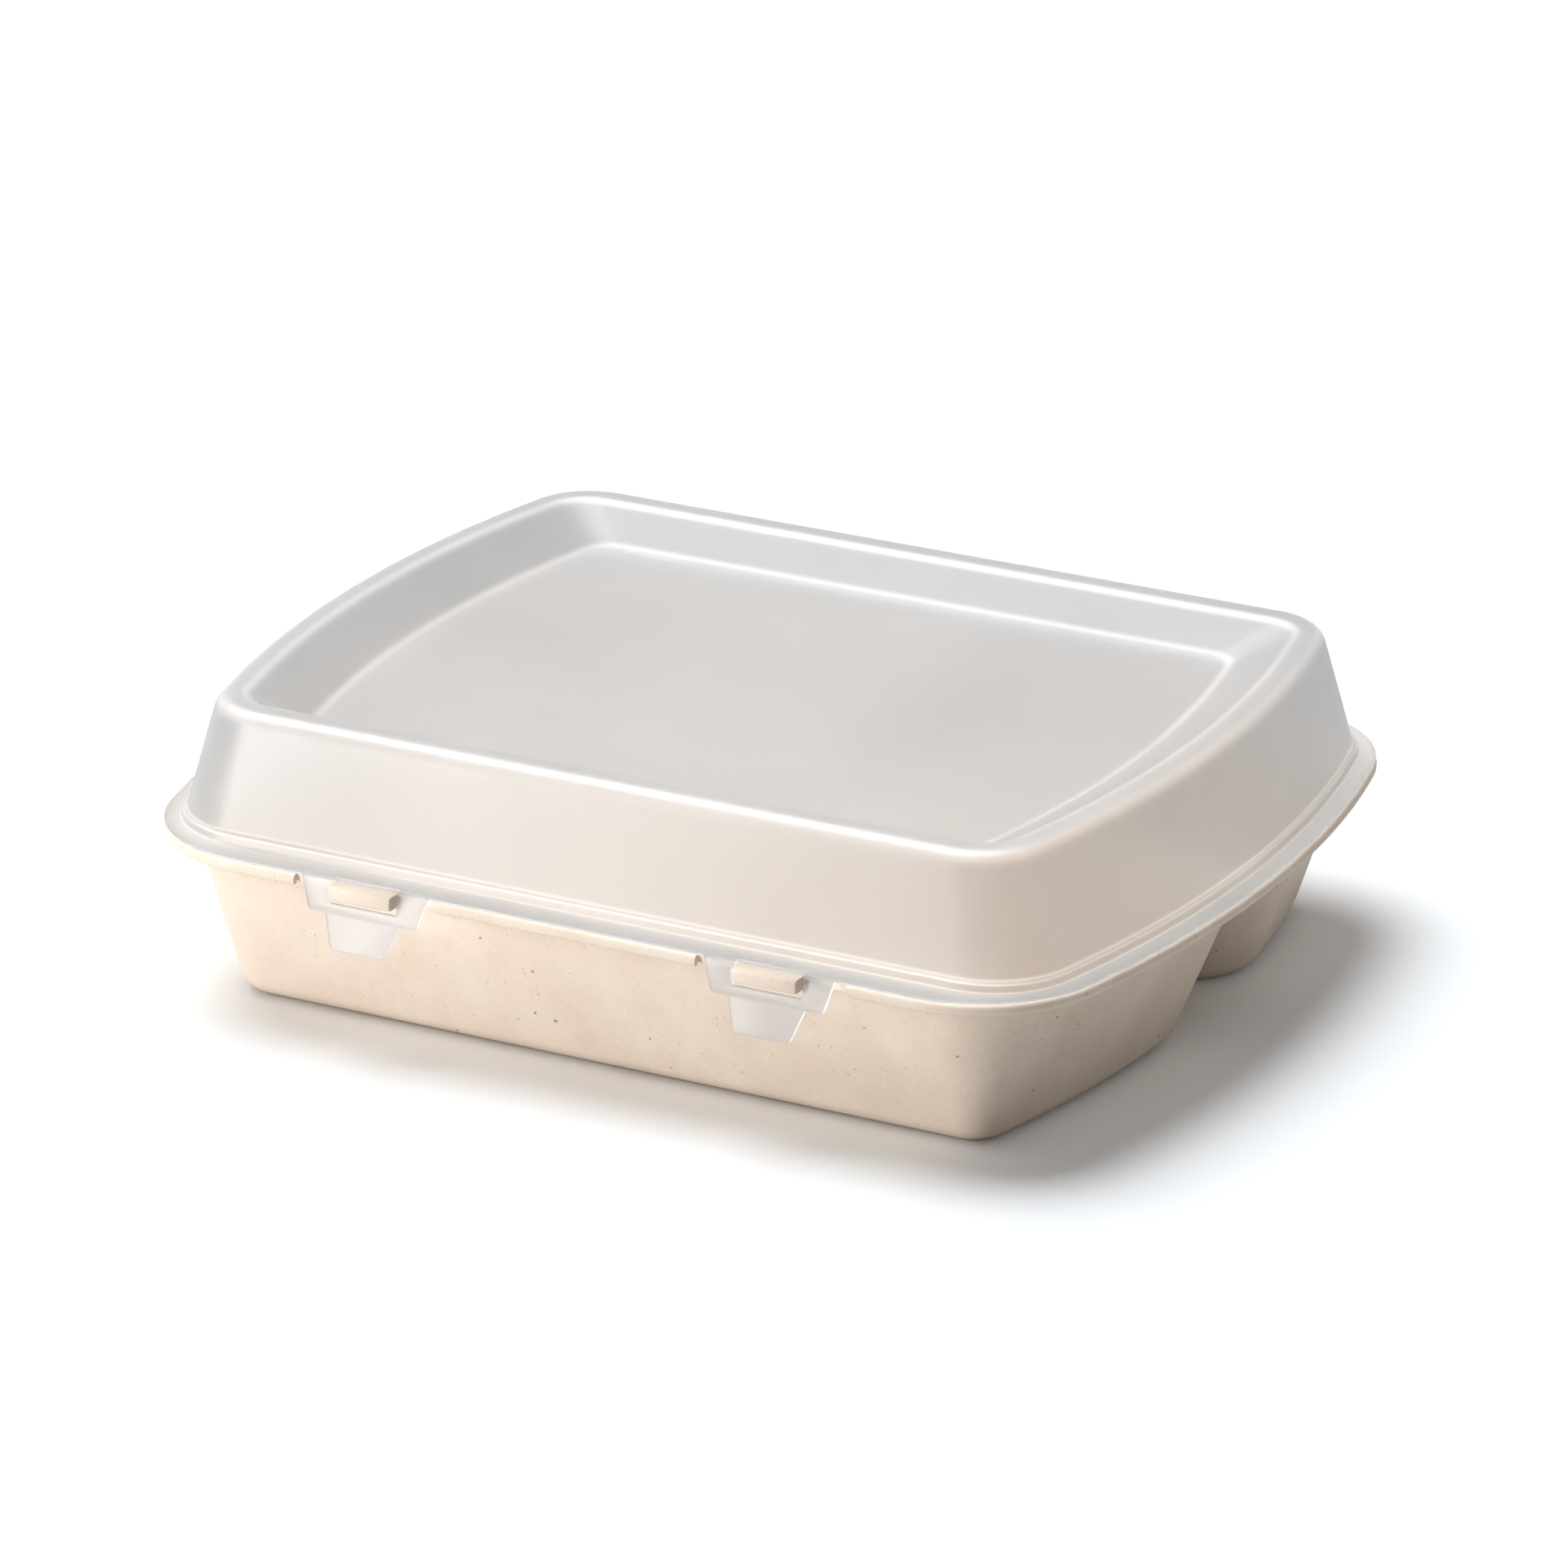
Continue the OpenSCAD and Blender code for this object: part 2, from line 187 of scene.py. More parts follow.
def wall_outline(z, inset):
    """Outline of the whole wall, through the same points as the compartments have along it."""
    front = front_cup(z, inset)
    rear = rear_cup(z, inset)
    bow = CORNER_STEPS + BOW_STEPS
    lower, upper = front[bow], rear[CORNER_STEPS]
    start, end = corner_angle(lower), corner_angle(upper)
    radius = BOW_CENTRE + wall_sizes(z, inset)[0]
    gap = arc((-BOW_CENTRE, 0), radius, start, end, GAP_STEPS)[1:-1]
    rear_steps = 2 * CORNER_STEPS + BOW_STEPS + SIDE_STEPS
    side = front[: bow + 1] + gap + rear[CORNER_STEPS : rear_steps + 1]
    loop = side + straight(side[-1], mirrored(side)[0], GAP_STEPS) + mirrored(side)
    return loop + straight(loop[-1], loop[0], 2 * SIDE_STEPS)


def outward(points):
    """Outward normals of an outline that runs anticlockwise."""
    normals = []
    for i, p in enumerate(points):
        along = points[(i + 1) % len(points)] - points[i - 1]
        normals.append(Vector((along.y, -along.x)).normalized())
    return normals


def at_height(points, z):
    return [Vector((p.x, p.y, z)) for p in points]


def moved_out(points, normals, reach, z):
    return at_height([p + n * reach for p, n in zip(points, normals)], z)


def lofted(name, rings, closed=False, bends=None):
    """A ring of vertices, extruded from level to level; closed fills the last ring, and bends, one for
    each level, tell the material how much it lies in a bend, where it shows whiter, partly as a painted
    highlight."""
    bpy.ops.object.select_all(action="DESELECT")
    bpy.ops.mesh.primitive_circle_add(vertices=len(rings[0]))
    piece = bpy.context.object
    piece.name = piece.data.name = name
    bpy.ops.object.mode_set(mode="EDIT")
    mesh = bmesh.from_edit_mesh(piece.data)
    mesh.verts.layers.int.new("place")
    mesh.verts.layers.float.new("bend")
    place, bend = mesh.verts.layers.int["place"], mesh.verts.layers.float["bend"]
    for vertex in mesh.verts:
        vertex[place] = vertex.index
    bpy.ops.mesh.select_all(action="SELECT")
    for level, ring in enumerate(rings):
        if level:
            bpy.ops.mesh.extrude_edges_move()
            mesh = bmesh.from_edit_mesh(piece.data)
            place = mesh.verts.layers.int["place"]
            bend = mesh.verts.layers.float["bend"]
        for vertex in mesh.verts:
            if vertex.select:
                vertex.co = ring[vertex[place]]
                vertex[bend] = bends[level] if bends else 0
        bmesh.update_edit_mesh(piece.data)
    if closed:
        bpy.ops.mesh.edge_face_add()
    bpy.ops.object.mode_set(mode="OBJECT")
    return piece


def joined(name, parts):
    bpy.ops.object.select_all(action="DESELECT")
    for part in parts:
        part.select_set(True)
    bpy.context.view_layer.objects.active = parts[0]
    bpy.ops.object.join()
    piece = bpy.context.object
    piece.name = piece.data.name = name
    return piece


def wall_gap(point, z, inset):
    """Distance from a point of a compartment's edge to the tray's wall."""
    x, y, _ = wall_sizes(z, inset)
    to_bow = BOW_CENTRE + x - Vector((abs(point.x) + BOW_CENTRE, point.y)).length
    return max(0, min(to_bow, y - abs(point.y)))


def cup_rings(cup, inset, top_z, floor_z, foot_r, edge_r):
    """Levels of one compartment, from the rounded edge of the dividers down to the floor."""
    rings = []
    share_of_gap = 0.45
    top = cup(top_z, inset)
    normals = outward(top)
    rounding = [min(edge_r, share_of_gap * wall_gap(p, top_z, inset)) for p in top]
    for left, gone in quarter_round(EDGE_STEPS):
        rings.append([
            Vector((p.x + n.x * r * left, p.y + n.y * r * left, top_z - r * gone))
            for p, n, r in zip(top, normals, rounding)
        ])
    for z in (top_z - edge_r - LOOP_GAP, mix(floor_z, top_z, 0.5), floor_z + foot_r):
        rings.append(at_height(cup(z, inset), z))
    for left, gone in quarter_round(FOOT_STEPS)[1:]:
        z = floor_z + foot_r * left
        rings.append(at_height(cup(z, inset + foot_r * gone), z))
    rings.append(at_height(cup(floor_z, inset + foot_r + LOOP_GAP), floor_z))
    return rings


def cups(inset, top_z, floor_z, foot_r, edge_r):
    """The front compartment and the two rear ones, all at the same inset from the tray's outside."""
    front = lofted("front", cup_rings(front_cup, inset, top_z, floor_z, foot_r, edge_r), closed=True)
    rings = cup_rings(rear_cup, inset, top_z, floor_z, foot_r, edge_r)
    right = lofted("right", rings, closed=True)
    left = lofted("left", [[Vector((-p.x, p.y, p.z)) for p in ring] for ring in rings], closed=True)
    return [front, right, left]


# The lower edges of the lip, outside and inside, as shares of their radius: across and up
LIP_BEAD = [(0, 1), (0.08, 0.6), (0.3, 0.3), (0.6, 0.08), (1, 0)]
LIP_EDGE = [(1, 0), (0.3, 0.3), (0, 1)]


def rim_rings():
    """Levels of the rim, from the dividers up the inside, over the flat rim and under it again."""
    inner = wall_outline(RIM_Z, TRAY_WALL)
    outer = wall_outline(RIM_Z, 0)
    inward, away = outward(inner), outward(outer)
    rings = [at_height(wall_outline(DIVIDER_Z, TRAY_WALL), DIVIDER_Z)]
    for left, gone in quarter_round(EDGE_STEPS):
        rings.append(moved_out(inner, inward, RIM_ROUND * gone, RIM_Z - RIM_ROUND * left))
    low_z = RIM_Z - LIP_HEIGHT
    lip_in = FLANGE - LIP_WALL
    under_z = RIM_Z - TRAY_WALL
    profile = [
        (FLANGE - LIP_ROUND * left, RIM_Z - LIP_ROUND * gone) for left, gone in quarter_round(LIP_STEPS)
    ]
    profile += [(FLANGE - LIP_BEAD_R * back, low_z + LIP_BEAD_R * up) for back, up in LIP_BEAD]
    profile += [(lip_in + LIP_EDGE_R * on, low_z + LIP_EDGE_R * up) for on, up in LIP_EDGE]
    profile += [(lip_in, under_z - LIP_EDGE_R), (lip_in - LIP_EDGE_R, under_z)]
    profile += [
        (RIM_ROUND * left, under_z - RIM_ROUND * gone) for left, gone in quarter_round(EDGE_STEPS)
    ]
    for reach, z in profile:
        rings.append(moved_out(outer, away, reach, z))
    rings.append(at_height(wall_outline(CEILING_Z, 0), CEILING_Z))
    return rings


def merge(piece, distance):
    bpy.ops.object.select_all(action="DESELECT")
    bpy.context.view_layer.objects.active = piece
    piece.select_set(True)
    bpy.ops.object.mode_set(mode="EDIT")
    bpy.ops.mesh.select_all(action="SELECT")
    bpy.ops.mesh.remove_doubles(threshold=distance)
    bpy.ops.object.mode_set(mode="OBJECT")


def fill_open_edges(piece, z):
    """Fills the open edges at one level, which is the top or the underside of the dividers."""
    bpy.ops.object.mode_set(mode="EDIT")
    bpy.ops.mesh.select_mode(type="EDGE")
    bpy.ops.mesh.select_all(action="DESELECT")
    mesh = bmesh.from_edit_mesh(piece.data)
    for edge in mesh.edges:
        flat = all(abs(v.co.z - z) < LEVEL_GAP for v in edge.verts)
        edge.select_set(flat and len(edge.link_faces) == 1)
    bmesh.update_edit_mesh(piece.data)
    bpy.ops.mesh.edge_face_add()
    bpy.ops.mesh.select_mode(type="VERT")
    bpy.ops.object.mode_set(mode="OBJECT")


def recalculated(piece):
    bpy.ops.object.mode_set(mode="EDIT")
    bpy.ops.mesh.select_all(action="SELECT")
    bpy.ops.mesh.normals_make_consistent(inside=False)
    bpy.ops.object.mode_set(mode="OBJECT")


tray_parts = [lofted("rim", rim_rings())]
tray_parts += cups(TRAY_WALL, DIVIDER_Z, TRAY_WALL, FOOT_R - TRAY_WALL, DIVIDER_EDGE_R)
tray_parts += cups(0, CEILING_Z, 0, FOOT_R, VALLEY_EDGE_R)
tray = joined("fibre_tray", tray_parts)
merge(tray, WELD)
fill_open_edges(tray, DIVIDER_Z)
fill_open_edges(tray, CEILING_Z)
recalculated(tray)


def block(name, low, high):
    """A block between two opposite corners."""
    low, high = Vector(low), Vector(high)
    bpy.ops.object.select_all(action="DESELECT")
    bpy.ops.mesh.primitive_cube_add(size=1, location=(low + high) / 2, scale=high - low)
    piece = bpy.context.object
    piece.name = piece.data.name = name
    bpy.ops.object.transform_apply(location=True, rotation=True, scale=True)
    return piece


def bevel_edges(piece, chosen, width, segments):
    """Rounds the edges that chosen accepts, by their two ends."""
    bpy.ops.object.mode_set(mode="EDIT")
    bpy.ops.mesh.select_mode(type="EDGE")
    bpy.ops.mesh.select_all(action="DESELECT")
    mesh = bmesh.from_edit_mesh(piece.data)
    for edge in mesh.edges:
        edge.select_set(chosen(edge.verts[0].co, edge.verts[1].co))
    bmesh.update_edit_mesh(piece.data)
    bpy.ops.mesh.bevel(offset=width, segments=segments, profile=0.5)
    bpy.ops.mesh.select_mode(type="VERT")
    bpy.ops.object.mode_set(mode="OBJECT")


def both_at(a, b, place):
    """Whether two coordinates both lie at a place."""
    return abs(a - place) + abs(b - place) < HAIR


def combine(piece, other, operation):
    """Cuts another solid out of a piece, or fuses it on."""
    modifier = piece.modifiers.new("combine", "BOOLEAN")
    modifier.operation = operation
    modifier.solver = "EXACT"
    modifier.object = other
    bpy.context.view_layer.objects.active = piece
    bpy.ops.object.modifier_apply(modifier=modifier.name)
    bpy.data.objects.remove(other)


def smooth(piece, degrees):
    bpy.ops.object.select_all(action="DESELECT")
    piece.select_set(True)
    bpy.context.view_layer.objects.active = piece
    bpy.ops.object.shade_smooth_by_angle(angle=math.radians(degrees))


def linear(colour):
    """An sRGB hex colour as the linear colour that a shader takes."""
    channels = [int(colour[i : i + 2], 16) / 255 for i in (1, 3, 5)]
    return tuple(c / 12.92 if c <= 0.04045 else ((c + 0.055) / 1.055) ** 2.4 for c in channels) + (1,)


def add_node(tree, kind, values, **settings):
    """Adds a node with its settings; each value is a number, a colour or the socket it is linked to."""
    node = tree.nodes.new(kind)
    for name, setting in settings.items():
        setattr(node, name, setting)
    for name, value in values.items():
        if isinstance(value, bpy.types.NodeSocket):
            tree.links.new(value, node.inputs[name])
        else:
            node.inputs[name].default_value = value
    return node


def new_material(name):
    """A material with only its output node."""
    material = bpy.data.materials.new(name)
    material.use_nodes = True
    material.node_tree.nodes.clear()
    output = material.node_tree.nodes.new("ShaderNodeOutputMaterial")
    return material, material.node_tree, output


def dress(piece, material):
    """Gives a piece its one material."""
    piece.data.materials.clear()
    piece.data.materials.append(material)


TAB_X = 47.8 * MM
TAB_TURNS = [(x, side) for x in (-TAB_X, TAB_X) for side in (-1, 1)]
EDGE_Y = RIM_Y - 0.2 * MM
LUG_WIDE = 15 * MM
LUG_FRONT = EDGE_Y + 3.2 * MM
LUG_TOP = RIM_Z + 0.3 * MM
LUG_LOW = LUG_TOP - 2.9 * MM
LUG_ROOT = RIM_Y - FLANGE - 0.7 * MM
LUG_TOP_R = 0.8 * MM
LUG_LOW_R = 0.5 * MM
LUG_SIDE_R = 0.25 * MM
SLOT_BACK = EDGE_Y - 1.2 * MM
SEAT_BACK = RIM_Y - 12 * MM
SEAT_FRONT = SLOT_BACK + 0.5 * MM
SEAT_HIGH = RIM_Z + 3 * MM
NOTCH_WIDE = 34.8 * MM
NOTCH_BACK = RIM_Y - 1.4 * MM
NOTCH_FRONT = RIM_Y + 5 * MM
NOTCH_LOW = RIM_Z - 8 * MM
NOTCH_HIGH = RIM_Z + 5 * MM


def block_at(name, x, wide, side, ys, zs):
    """A block across a tab's place, between two depths on one side of the container and two heights."""
    near, far = sorted((side * ys[0], side * ys[1]))
    return block(name, (x - wide / 2, near, zs[0]), (x + wide / 2, far, zs[1]))


for x, side in TAB_TURNS:
    notch = block_at("notch", x, NOTCH_WIDE, side, (NOTCH_BACK, NOTCH_FRONT), (NOTCH_LOW, NOTCH_HIGH))
    combine(tray, notch, "DIFFERENCE")
for x, side in TAB_TURNS:
    lug = block_at("lug", x, LUG_WIDE, side, (LUG_ROOT, LUG_FRONT), (LUG_LOW, LUG_TOP))
    front = side * LUG_FRONT
    bevel_edges(lug, lambda a, b: both_at(a.y, b.y, front) and a.z + b.z > 2 * RIM_Z, LUG_TOP_R, 5)
    bevel_edges(lug, lambda a, b: both_at(a.y, b.y, front) and both_at(a.z, b.z, LUG_LOW), LUG_LOW_R, 3)
    bevel_edges(
        lug, lambda a, b: abs(a.x - b.x) < HAIR and min(abs(a.y), abs(b.y)) > SLOT_BACK, LUG_SIDE_R, 2
    )
    seat = block_at("seat", x, 2 * LUG_WIDE, side, (SEAT_BACK, SEAT_FRONT), (RIM_Z, SEAT_HIGH))
    combine(lug, seat, "DIFFERENCE")
    combine(tray, lug, "UNION")
smooth(tray, SMOOTH_ANGLE)

# The plastic holds ground plant fibre: a warm beige, faintly mottled, with sparse dark husk specks and a
# matt skin from the mould that only a low sheen runs over.
CLOUD_SIZE = 14 * MM
GRAIN_SIZE = 0.8 * MM
GRAIN_DEEP = 0.06 * MM
DRIFT_SIZE = 1.5 * MM
SPECK_DRIFT = 1.2 * MM
SPECK_CORE = 0.5
fibre, tree, output = new_material("moulded_plant_fibre_plastic")
place = add_node(tree, "ShaderNodeTexCoord", {}).outputs["Object"]
cloud = add_node(tree, "ShaderNodeTexNoise", {"Vector": place, "Scale": 1 / CLOUD_SIZE, "Detail": 3.0})
grain = add_node(tree, "ShaderNodeTexNoise", {
    "Vector": place, "Scale": 1 / GRAIN_SIZE, "Detail": 4.0, "Roughness": 0.7,
})
mottle = add_node(tree, "ShaderNodeMix", {
    "Factor": 0.45, "A": cloud.outputs["Fac"], "B": grain.outputs["Fac"],
})
beige = add_node(tree, "ShaderNodeValToRGB", {"Fac": mottle.outputs["Result"]})
beige.color_ramp.elements[0].position = 0.36
beige.color_ramp.elements[0].color = linear("#E4D2BF")
beige.color_ramp.elements[1].position = 0.64
beige.color_ramp.elements[1].color = linear("#F0E1D1")
drift = add_node(tree, "ShaderNodeTexNoise", {"Vector": place, "Scale": 1 / DRIFT_SIZE, "Detail": 1.0})
shift = add_node(tree, "ShaderNodeVectorMath", {
    0: drift.outputs["Color"], 1: (0.5, 0.5, 0.5),
}, operation="SUBTRACT")
shifted = add_node(tree, "ShaderNodeVectorMath", {
    0: shift.outputs["Vector"], 1: (SPECK_DRIFT,) * 3, 2: place,
}, operation="MULTIPLY_ADD")


def husk_specks(name, under, colour, strength, spacing, size, share):
    """Husk specks over a colour: one in each cell of the spacing, kept in a share of the cells."""
    cells = add_node(tree, "ShaderNodeTexVoronoi", {
        "Vector": shifted.outputs["Vector"], "Scale": 1 / spacing,
    }, label=name)
    near = add_node(tree, "ShaderNodeMapRange", {
        "Value": cells.outputs["Distance"],
        "From Min": size / spacing * SPECK_CORE, "From Max": size / spacing, "To Min": 1.0, "To Max": 0.0,
    })
    chance = add_node(tree, "ShaderNodeSeparateColor", {"Color": cells.outputs["Color"]})
    kept = add_node(tree, "ShaderNodeMath", {0: chance.outputs["Red"], 1: share}, operation="LESS_THAN")
    speck = add_node(tree, "ShaderNodeMath", {
        0: near.outputs["Result"], 1: kept.outputs["Value"],
    }, operation="MULTIPLY")
    cover = add_node(tree, "ShaderNodeMath", {0: speck.outputs["Value"], 1: strength}, operation="MULTIPLY")
    return add_node(tree, "ShaderNodeMix", {
        "Factor": cover.outputs["Value"], "A": under, "B": linear(colour),
    }, data_type="RGBA").outputs["Result"]


colour = husk_specks("fine specks", beige.outputs["Color"], "#A98C68", 0.6, 2.4 * MM, 0.3 * MM, 0.45)
colour = husk_specks("dark specks", colour, "#6E5237", 0.75, 5.2 * MM, 0.5 * MM, 0.45)
skin = add_node(tree, "ShaderNodeBump", {
    "Strength": 0.25, "Distance": GRAIN_DEEP, "Height": grain.outputs["Fac"],
})
plastic = add_node(tree, "ShaderNodeBsdfPrincipled", {
    "Base Color": colour, "Roughness": 0.62, "IOR": 1.49, "Normal": skin.outputs["Normal"],
})
tree.links.new(plastic.outputs["BSDF"], output.inputs["Surface"])
dress(tray, fibre)
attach(tray, "tray")
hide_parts("tray")

# Lid
# One thin shell of polypropylene with a frosted skin, drawn up into a dome with a rounded crest and a
# sunken panel. Its flat flange lies on the tray's rim.
LID_X, LID_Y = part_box("lid")[1].xy
LID_WALL = 0.9 * MM
PROFILE_STEPS = 6
# Limits of the profile's roundings and offsets, and how fast the white of a bend, partly a painted
# highlight, fades beside it
LEAST_ROUND = 0.1 * MM
MOST_OF_EDGE = 0.49
SHARPEST = 0.3
BEND_HIGHLIGHT_FADE = 3


def lid_outline(in_end, in_side, radius):
    y = LID_Y - in_side
    side = end_outline(LID_X - in_end, -y, y, radius, radius)
    loop = side + straight(side[-1], mirrored(side)[0], 2 * SIDE_STEPS) + mirrored(side)
    return loop + straight(loop[-1], loop[0], 2 * SIDE_STEPS)


def offset_corners(corners, thickness):
    """The profile of the inner face: corners as (end, side, height, outline radius, rounding)."""
    moved = []
    for i, corner in enumerate(corners):
        shifts = []
        for axis in (0, 1):
            before, after = corners[max(i - 1, 0)], corners[min(i + 1, len(corners) - 1)]
            here = Vector((corner[axis], corner[2]))
            one = (here - Vector((before[axis], before[2]))).normalized() if i else None
            two = (Vector((after[axis], after[2])) - here).normalized() if i < len(corners) - 1 else None
            one, two = one or two, two or one
            turn = one.x * two.y - one.y * two.x
            normal = Vector((one.y + two.y, -one.x - two.x)).normalized()
            reach = thickness / max(SHARPEST, normal.dot(Vector((one.y, -one.x))))
            shifts.append(normal * reach)
        convex = turn < 0
        rounding = max(LEAST_ROUND, corner[4] - thickness) if convex else corner[4] + thickness
        end, side = corner[0] + shifts[0].x, corner[1] + shifts[1].x
        moved.append((end, side, corner[2] + shifts[1].y, corner[3] - shifts[1].x, rounding))
    return moved


def rounded(corners, steps):
    """The profile's points, each with how much it lies in a bend, and an arc at each rounded corner."""
    points = [(Vector(corners[0][:4]), 0)]
    for before, corner, after in zip(corners, corners[1:], corners[2:]):
        here = Vector(corner[:4])
        back, on = Vector(before[:4]) - here, Vector(after[:4]) - here
        flat_back, flat_on = Vector((back.y, back.z)), Vector((on.y, on.z))
        half_turn = (math.pi - flat_back.angle(flat_on)) / 2
        reach = corner[4] * math.tan(half_turn)
        start = here + back * min(MOST_OF_EDGE, reach / flat_back.length)
        end = here + on * min(MOST_OF_EDGE, reach / flat_on.length)
        for i in range(steps + 1):
            t = i / steps
            point = start * (1 - t) ** 2 + here * (2 * t * (1 - t)) + end * t ** 2
            points.append((point, (4 * t * (1 - t)) ** BEND_HIGHLIGHT_FADE))
    return points + [(Vector(corners[-1][:4]), 0)]


# Corners of the lid's profile from the flange inwards: in from the end, in from the side, height,
# corner radius of the outline there and rounding, all in mm
LID_PROFILE = [
    (1.5, 1.5, 38.4, 28.5, 0),
    (4.0, 6.7, 38.4, 20.0, 0.6),
    (4.4, 7.1, 40.2, 19.6, 1.0),
    (5.3, 8.0, 40.65, 18.8, 1.2),
    (12.7, 12.05, 66.2, 15.2, 4.2),
    (17.9, 19.2, 66.2, 9.5, 5.0),
    (31.9, 28.0, 59.0, 6.5, 4.5),
    (37.0, 33.0, 59.0, 4.0, 0),
]
# The flange's edge with the groove under it: in from the edge and height, in mm
FLANGE_EDGE = [
    (1.5, 37.56), (0.9, 37.62), (0.25, 37.86), (0.07, 37.92),
    (0, 38.02), (0, 38.2), (0.07, 38.34), (0.25, 38.4),
]
FLANGE_CORNER_R = 30
outside = [tuple(value * MM for value in corner) for corner in LID_PROFILE]
inside = offset_corners(outside, LID_WALL)


def ring_at(point):
    return at_height(lid_outline(point[0], point[1], point[3]), point[2])


lid_levels = [(ring_at(point), bend) for point, bend in reversed(rounded(inside, PROFILE_STEPS))][:-1]
for reach, z in FLANGE_EDGE:
    outline = lid_outline(reach * MM, reach * MM, (FLANGE_CORNER_R - reach) * MM)
    lid_levels.append((at_height(outline, z * MM), 0))
lid_levels += [(ring_at(point), bend) for point, bend in rounded(outside, PROFILE_STEPS)]
rings, bends = zip(*lid_levels)
lid = lofted("frosted_lid", rings, closed=True, bends=bends)
bpy.ops.object.mode_set(mode="EDIT")
bpy.ops.mesh.select_mode(type="EDGE")
bpy.ops.mesh.select_all(action="DESELECT")
bpy.ops.mesh.select_non_manifold()
bpy.ops.mesh.edge_face_add()
bpy.ops.mesh.select_mode(type="VERT")
bpy.ops.object.mode_set(mode="OBJECT")
recalculated(lid)

TAB_WIDE = 30 * MM
TAB_ROOM = 0.3 * MM
CREASE_R = LID_WALL / 2
CREASE_Z = RIM_Z + CREASE_R
CREASE_HOLD = 0.02 * MM
SLOT_WIDE = LUG_WIDE + 1 * MM
CUT_PAST = 3 * MM
for x, side in TAB_TURNS:
    for wide, back in ((TAB_WIDE + TAB_ROOM, EDGE_Y - CREASE_R + CREASE_HOLD), (SLOT_WIDE, SLOT_BACK)):
        gap = block_at("gap", x, wide, side, (back, LID_Y + CUT_PAST), (RIM_Z - CUT_PAST, RIM_Z + CUT_PAST))
        combine(lid, gap, "DIFFERENCE")
smooth(lid, SMOOTH_ANGLE)

# Frosted polypropylene is clear plastic with a finely matt skin: it lets most of the light through but
# scatters it, so that what lies close under it shows warm and what is further off only tints it. Where
# it is stretched round a bend it shows whiter, and that white is also a painted highlight for the
# bright lines that the light draws along the bends.
MATT_SIZE = 0.5 * MM
MATT_DEEP = 0.03 * MM
HAZE_SIZE = 30 * MM
frosted, tree, output = new_material("frosted_polypropylene")
place = add_node(tree, "ShaderNodeTexCoord", {}).outputs["Object"]
matt = add_node(tree, "ShaderNodeTexNoise", {"Vector": place, "Scale": 1 / MATT_SIZE, "Detail": 3.0})
skin = add_node(tree, "ShaderNodeBump", {
    "Strength": 0.12, "Distance": MATT_DEEP, "Height": matt.outputs["Fac"],
})
patches = add_node(tree, "ShaderNodeTexNoise", {"Vector": place, "Scale": 1 / HAZE_SIZE, "Detail": 2.0})
haze = add_node(tree, "ShaderNodeMix", {
    "Factor": patches.outputs["Fac"], "A": linear("#D0D1D2"), "B": linear("#D9DADB"),
}, data_type="RGBA")
# Whiter colour round the bends: partly the stretched plastic, partly a painted highlight along them
bend = add_node(tree, "ShaderNodeAttribute", {}, attribute_name="bend")
tone = add_node(tree, "ShaderNodeMix", {
    "Factor": bend.outputs["Fac"], "A": haze.outputs["Result"], "B": linear("#F6F6F6"),
}, data_type="RGBA")
shell = add_node(tree, "ShaderNodeBsdfPrincipled", {
    "Base Color": tone.outputs["Result"], "Roughness": 0.4, "IOR": 1.49, "Transmission Weight": 0.86,
    "Normal": skin.outputs["Normal"],
})
lit_through = add_node(tree, "ShaderNodeBsdfTransparent", {"Color": (0.8, 0.8, 0.8, 1)})
ray = add_node(tree, "ShaderNodeLightPath", {})
sheet = add_node(tree, "ShaderNodeMixShader", {
    "Fac": ray.outputs["Is Shadow Ray"], 1: shell.outputs["BSDF"], 2: lit_through.outputs["BSDF"],
})
tree.links.new(sheet.outputs["Shader"], output.inputs["Surface"])
dress(lid, frosted)
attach(lid, "lid")
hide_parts("lid")

# Tabs
# Part of the lid's moulding: each hangs from a thin crease in the flange's edge, has a slot that goes
# over a lug of the tray, and ends in a finger tongue. The two in front swing out; those behind stay hooked.
PLATE_TILT = math.radians(10)
TONGUE_TILT = math.radians(20)
SHOULDER = 7.1 * MM
TONGUE = 7.4 * MM
SLOT_LOW = 4.7 * MM
TAB_TAPER = 2 * MM
TONGUE_WIDE = 17.8 * MM
TONGUE_TAPER = 2.4 * MM
SHOULDER_R = 1.6 * MM
TONGUE_ROOT_R = 0.5 * MM
TIP_R = 1.6 * MM
SLOT_R = 0.4 * MM
TAB_EDGE_R = 0.2 * MM
BEND_START = SHOULDER - 0.8 * MM
BEND_RUN = 1.6 * MM
BEND_CUTS = 8
TAB_CORNER_STEPS = 5
TAB_SMOOTH_ANGLE = 40


def tab_shape(depth):
    """Half width of a tab at a depth below its crease."""
    if depth <= SHOULDER:
        return TAB_WIDE / 2 - TAB_TAPER * depth / SHOULDER
    return TONGUE_WIDE / 2 - TONGUE_TAPER * (depth - SHOULDER) / TONGUE


def bent(point, x, side):
    """Takes a point of the flat tab to its place: across, out from the mid plane, and down along it."""
    across, out, depth = point
    t = min(1, max(0, (depth - BEND_START) / BEND_RUN))
    tilt = mix(PLATE_TILT, TONGUE_TILT, t)
    first = min(depth, BEND_START)
    rest = max(0, depth - BEND_START)
    curved = min(rest, BEND_RUN)
    mean = mix(PLATE_TILT, tilt, 0.5)
    y = first * math.sin(PLATE_TILT) + curved * math.sin(mean) + (rest - curved) * math.sin(TONGUE_TILT)
    z = first * math.cos(PLATE_TILT) + curved * math.cos(mean) + (rest - curved) * math.cos(TONGUE_TILT)
    y += out * math.cos(tilt)
    z -= out * math.sin(tilt)
    return Vector((x + across, side * (EDGE_Y + y), CREASE_Z - z))


